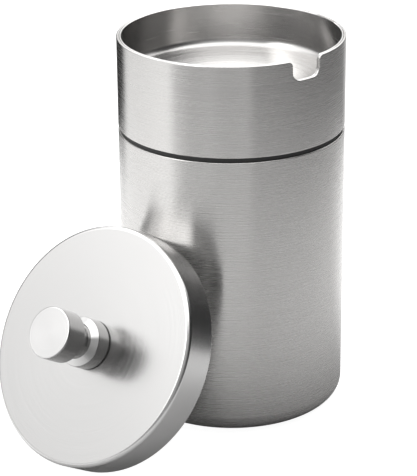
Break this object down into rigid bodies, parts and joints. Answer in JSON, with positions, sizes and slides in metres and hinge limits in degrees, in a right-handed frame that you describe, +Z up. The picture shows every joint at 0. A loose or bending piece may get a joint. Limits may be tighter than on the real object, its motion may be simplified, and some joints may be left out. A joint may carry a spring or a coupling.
{
  "type": "tabletop ashtray bin",
  "caption": "Round steel ashtray bin: a deep canister with a lift-off funnel top that has a cigarette rest, and a knobbed cap that leans against its side.",
  "frame": {"origin": "middle of the rubber pad's underside, on the canister's axis", "axes": "+Z up along the canister's axis; the cap leans on the canister from the -X side; the cigarette rest is near -Y"},
  "size_m": [0.1273, 0.0786, 0.1278],
  "materials": {
    "canister_steel": "satin, brushed round the canister",
    "collar_steel": "satin, brushed round the collar",
    "bowl_steel": "satin, brushed round the bowl",
    "cap_steel": "fine satin",
    "knob_steel": "turned satin",
    "fastener_steel": "plain",
    "seal_rubber": "matte black",
    "pad_rubber": "matte black"
  },
  "bodies": {
    "canister": {"base_pad": "pad_rubber", "canister_shell": "canister_steel"},
    "ash_top": {"ash_collar": "collar_steel", "ash_bowl": "bowl_steel", "spigot_sleeve": "bowl_steel", "seal_ring": "seal_rubber"},
    "cap": {"cap_shell": "cap_steel", "cap_grip_ring": "seal_rubber", "knob_rose": "knob_steel", "knob": "knob_steel", "knob_washer": "fastener_steel", "knob_screw": "fastener_steel"}
  },
  "joints": [
    {"name": "ash_top_lift", "type": "slide", "parent": "canister", "child": "ash_top", "axis": [0, 0, 1], "range_m": [0, 0.05]},
    {"name": "cap_pull", "type": "slide", "parent": "canister", "child": "cap", "axis": [-0.8598, 0, 0.5105], "range_m": [0, 0.1]}
  ]
}
